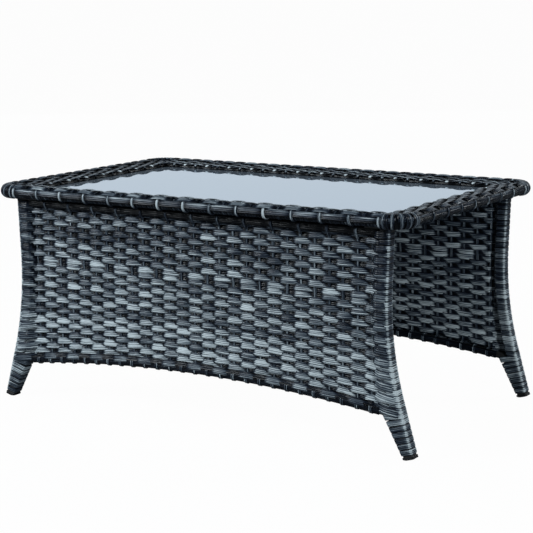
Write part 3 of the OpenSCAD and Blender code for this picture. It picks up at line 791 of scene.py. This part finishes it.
def corner_fan(strands, k, pick):
    """Wraps laid side by side round one rounded corner, over the lengthwise strip."""
    xy, inward, phase, _ = border_loop(EDGE_R, step=0.002)
    start = sum((2 * LONG_N if j % 2 == 0 else 2 * SHORT_N) + CORNER_N for j in range(k))
    start += 2 * LONG_N if k % 2 == 0 else 2 * SHORT_N
    inside = np.where((phase > start) & (phase < start + CORNER_N))[0]
    arc = arc_length(xy[inside])
    first, last = 0.10 * arc[-1], 0.90 * arc[-1]
    for i in range(FAN_WRAPS):
        d = first + (last - first) * i / (FAN_WRAPS - 1)
        j = inside[int(np.argmin(abs(arc - d)))]
        tone = FAN_TONES[i % 4] + pick.uniform(-0.10, 0.10)
        edge_wrap(strands, xy[j], inward[j], FAN_R, FAN_ARC, tone)


# ---------------------------------------------------------------- materials

def new_material(name):
    """A material, its node tree and its shader."""
    mat = bpy.data.materials.new(name)
    mat.use_nodes = True
    return mat, mat.node_tree, mat.node_tree.nodes["Principled BSDF"]


def add_node(tree, kind, **settings):
    """A new node, with some of its settings."""
    node = tree.nodes.new(kind)
    for key, value in settings.items():
        setattr(node, key, value)
    return node


def add_noise(tree, vector, scale, detail=2.0, roughness=0.5):
    """Noise at given coordinates, as a value between 0 and 1."""
    node = add_node(tree, "ShaderNodeTexNoise")
    node.inputs["Scale"].default_value = scale
    node.inputs["Detail"].default_value = detail
    node.inputs["Roughness"].default_value = roughness
    tree.links.new(vector, node.inputs["Vector"])
    return node.outputs["Fac"]


def add_range(tree, value, low, high):
    """Spreads a value between 0 and 1 over low to high."""
    node = add_node(tree, "ShaderNodeMapRange")
    node.inputs["To Min"].default_value = low
    node.inputs["To Max"].default_value = high
    tree.links.new(value, node.inputs["Value"])
    return node.outputs["Result"]


def add_math(tree, operation, value, second=None, third=None):
    """A Math node on a value. The second and third inputs are numbers, sockets or, where unused, None."""
    node = add_node(tree, "ShaderNodeMath", operation=operation)
    for socket, given in zip(node.inputs, (value, second, third)):
        if isinstance(given, float):
            socket.default_value = given
        elif given is not None:
            tree.links.new(given, socket)
    return node.outputs["Value"]


def add_bump(tree, shader, height, strength, distance):
    """Bumps on a shader's surface, from a height."""
    node = add_node(tree, "ShaderNodeBump")
    node.inputs["Strength"].default_value = strength
    node.inputs["Distance"].default_value = distance
    tree.links.new(height, node.inputs["Height"])
    tree.links.new(node.outputs["Normal"], shader.inputs["Normal"])


def object_coords(tree):
    """The piece's own coordinates, in metres."""
    return add_node(tree, "ShaderNodeTexCoord").outputs["Object"]


def make_strand_material():
    """Flat plastic strand: lengthwise streaks and ridges, in a tone from near black to light grey.

    The tone holds the strand's own tone with painted light and shade mixed in.
    """
    mat, tree, shader = new_material("strand_plastic")
    link = tree.links.new
    uv = add_node(tree, "ShaderNodeUVMap", uv_map="strand").outputs["UV"]
    tone = add_node(tree, "ShaderNodeAttribute", attribute_type="GEOMETRY", attribute_name="tone")

    stretch = add_node(tree, "ShaderNodeMapping")
    stretch.inputs["Scale"].default_value = STREAK_SCALE
    link(uv, stretch.inputs["Vector"])
    streak = add_noise(tree, stretch.outputs["Vector"], 1.0, 4.0, 0.65)

    split = add_node(tree, "ShaderNodeSeparateXYZ")
    link(uv, split.inputs["Vector"])
    grooves = add_math(tree, "MULTIPLY", split.outputs["Y"], 2 * math.pi / GROOVE_PITCH)
    grooves = add_math(tree, "COSINE", grooves)

    streak_tone = add_math(tree, "MULTIPLY_ADD", streak, 1.70, -0.88)
    level = add_math(tree, "ADD", tone.outputs["Fac"], streak_tone)
    # painted light and shade on the ridges: lighter along their crests, darker in the grooves
    level = add_math(tree, "MULTIPLY_ADD", grooves, 0.16, level)
    ramp = add_node(tree, "ShaderNodeValToRGB")
    elements = ramp.color_ramp.elements
    while len(elements) < len(STRAND_COLOURS):
        elements.new(0.5)
    for element, (at, colour) in zip(elements, STRAND_COLOURS):
        element.position = at
        element.color = (*colour, 1.0)
    link(level, ramp.inputs["Fac"])
    link(ramp.outputs["Color"], shader.inputs["Base Color"])

    height = add_math(tree, "MULTIPLY_ADD", grooves, GROOVE_HEIGHT, streak)
    add_bump(tree, shader, height, 0.75, 0.0006)
    link(add_range(tree, streak, 0.18, 0.42), shader.inputs["Roughness"])
    shader.inputs["Specular IOR Level"].default_value = 0.17
    return mat


def make_steel_material():
    """Black powder coat with a fine orange-peel surface."""
    mat, tree, shader = new_material("black_powder_coat")
    coords = object_coords(tree)
    patches = add_noise(tree, coords, 22.0)
    tree.links.new(add_range(tree, patches, 0.010, 0.030), shader.inputs["Base Color"])
    add_bump(tree, shader, add_noise(tree, coords, 900.0, 3.0), 0.12, 0.0003)
    shader.inputs["Roughness"].default_value = 0.32
    return mat


def make_glass_material():
    """Bluish glass with faint waves, which mostly mirrors the sky and lets nothing show through."""
    mat, tree, shader = new_material("tinted_glass")
    add_bump(tree, shader, add_noise(tree, object_coords(tree), 6.0), 0.02, 0.001)
    shader.inputs["Base Color"].default_value = (0.40, 0.49, 0.60, 1.0)
    shader.inputs["Metallic"].default_value = 0.75
    shader.inputs["Roughness"].default_value = 0.02
    shader.inputs["IOR"].default_value = 1.9
    return mat


def make_plain_material(name, colour, roughness, metallic=0.0):
    """A moulded or plated surface with a fine grain and a little variation in its sheen."""
    mat, tree, shader = new_material(name)
    grain = add_noise(tree, object_coords(tree), 400.0, 4.0)
    sheen = add_range(tree, grain, roughness * 0.8, min(1.0, roughness * 1.2))
    tree.links.new(sheen, shader.inputs["Roughness"])
    add_bump(tree, shader, grain, 0.3, 0.0001)
    shader.inputs["Base Color"].default_value = (*colour, 1.0)
    shader.inputs["Metallic"].default_value = metallic
    return mat


def dress_cad_nodes():
    """Gives every CAD node that stays in view the material of its slot."""
    by_slot = {
        "frame_steel": make_steel_material(),
        "zinc": make_plain_material("zinc_plate", (0.56, 0.57, 0.60), 0.30, 1.0),
        "glide_plastic": make_plain_material("glide_plastic", (0.012, 0.012, 0.014), 0.45),
        "pad_clear": make_plain_material("clear_pad", (0.60, 0.66, 0.70), 0.25),
        "glass": make_glass_material(),
    }
    for sub in frame["record"]["subparts"]:
        mat = by_slot.get(sub["material_slot"], strand_material)
        obj = nodes[sub["node"]]
        for slot in obj.material_slots:
            slot.material = mat


# ---------------------------------------------------------------- camera and light

def look_along(obj, target):
    """Turns a camera or light towards a point."""
    obj.rotation_euler = (Vector(target) - obj.location).to_track_quat("-Z", "Y").to_euler()


def make_camera():
    """The photograph's viewpoint: 32 degrees round from the front and 10 above it."""
    data = bpy.data.cameras.new("camera")
    data.sensor_width = 36.0
    data.lens = LENS
    data.clip_end = 500.0
    camera = bpy.data.objects.new("camera", data)
    bpy.context.scene.collection.objects.link(camera)
    level = math.cos(VIEW_ELEVATION)
    back = Vector((math.sin(VIEW_AZIMUTH) * level, -math.cos(VIEW_AZIMUTH) * level, math.sin(VIEW_ELEVATION)))
    camera.location = Vector(VIEW_TARGET) + back * VIEW_DISTANCE
    look_along(camera, VIEW_TARGET)
    turn = camera.rotation_euler.to_quaternion()
    camera.rotation_mode = "QUATERNION"
    camera.rotation_quaternion = turn @ Quaternion((0, 0, 1), VIEW_ROLL)
    bpy.context.scene.camera = camera


def area_light(name, location, target, size, power, colour):
    """A soft box, which the camera doesn't see itself."""
    data = bpy.data.lights.new(name, "AREA")
    data.shape = "RECTANGLE"
    data.size, data.size_y = size
    data.energy = power
    data.color = colour
    light = bpy.data.objects.new(name, data)
    bpy.context.scene.collection.objects.link(light)
    light.location = location
    light.visible_camera = False
    look_along(light, target)
    return light


def make_world():
    """White behind everything for the camera, and a dim blue-grey room for what the table reflects."""
    world = bpy.data.worlds.new("studio")
    bpy.context.scene.world = world
    world.use_nodes = True
    tree = world.node_tree
    room = tree.nodes["Background"]
    room.inputs["Color"].default_value = (0.80, 0.90, 1.0, 1.0)
    room.inputs["Strength"].default_value = WORLD_LIGHT
    white = add_node(tree, "ShaderNodeBackground")
    white.inputs["Color"].default_value = (1.0, 1.0, 1.0, 1.0)
    to_camera = add_node(tree, "ShaderNodeLightPath").outputs["Is Camera Ray"]
    mix = add_node(tree, "ShaderNodeMixShader")
    tree.links.new(to_camera, mix.inputs["Fac"])
    tree.links.new(room.outputs[0], mix.inputs[1])
    tree.links.new(white.outputs[0], mix.inputs[2])
    tree.links.new(mix.outputs[0], tree.nodes["World Output"].inputs["Surface"])


def make_floor():
    """Pale floor, which looks nearly even white to the camera and reflects a dim grey on to the table."""
    bpy.ops.mesh.primitive_plane_add(size=400.0, location=(0, 0, 0))
    floor = bpy.context.object
    floor.name = "floor"
    mat, tree, shader = new_material("floor_white")
    shader.inputs["Base Color"].default_value = (0.20, 0.21, 0.22, 1.0)
    shader.inputs["Roughness"].default_value = 0.9
    white = add_node(tree, "ShaderNodeEmission")
    white.inputs["Strength"].default_value = 1.05
    to_camera = add_node(tree, "ShaderNodeLightPath").outputs["Is Camera Ray"]
    mix = add_node(tree, "ShaderNodeMixShader")
    tree.links.new(add_math(tree, "MULTIPLY", to_camera, FLOOR_WHITE), mix.inputs["Fac"])
    tree.links.new(shader.outputs[0], mix.inputs[1])
    tree.links.new(white.outputs[0], mix.inputs[2])
    tree.links.new(mix.outputs[0], tree.nodes["Material Output"].inputs["Surface"])
    floor.data.materials.append(mat)


def make_studio():
    """White studio: a bright backdrop behind the table, and soft boxes at the left, right, back and above."""
    bpy.context.scene.view_settings.view_transform = "Standard"
    make_world()
    make_floor()
    area_light("backdrop", (-3.7, 5.9, 1.9), (0, 0, 0.8), (11.0, 3.8), 102, (0.84, 0.93, 1.0))
    area_light("key_left", (-1.9, -2.3, 1.7), (-0.1, 0, 0.25), (0.9, 0.7), 68, (0.88, 0.95, 1.0))
    side = area_light("side_right", (2.9, -1.7, 1.3), (0.3, 0, 0.25), (0.30, 1.8), 46, (0.90, 0.96, 1.0))
    area_light("fill_back", (2.3, 2.7, 1.9), (0, 0, 0.25), (1.0, 0.8), 48, (0.92, 0.97, 1.0))
    overhead = area_light("overhead", (-0.4, -0.2, 2.6), (0, 0, 0.4), (1.6, 0.9), 17, (0.88, 0.95, 1.0))
    side.visible_glossy = False         # it would glare off the rim when seen from behind
    overhead.visible_glossy = False     # and this one off the glass when seen from above


strand_material = make_strand_material()
dress_cad_nodes()
build_panel("front", (1, 1))
build_panel("back", (1, -1))
for name, mirror in (("leg_wrap_front_right", (1, 1)), ("leg_wrap_front_left", (-1, 1)),
                     ("leg_wrap_back_right", (1, -1)), ("leg_wrap_back_left", (-1, -1))):
    leg_wraps(name, mirror)
build_border()
make_camera()
make_studio()
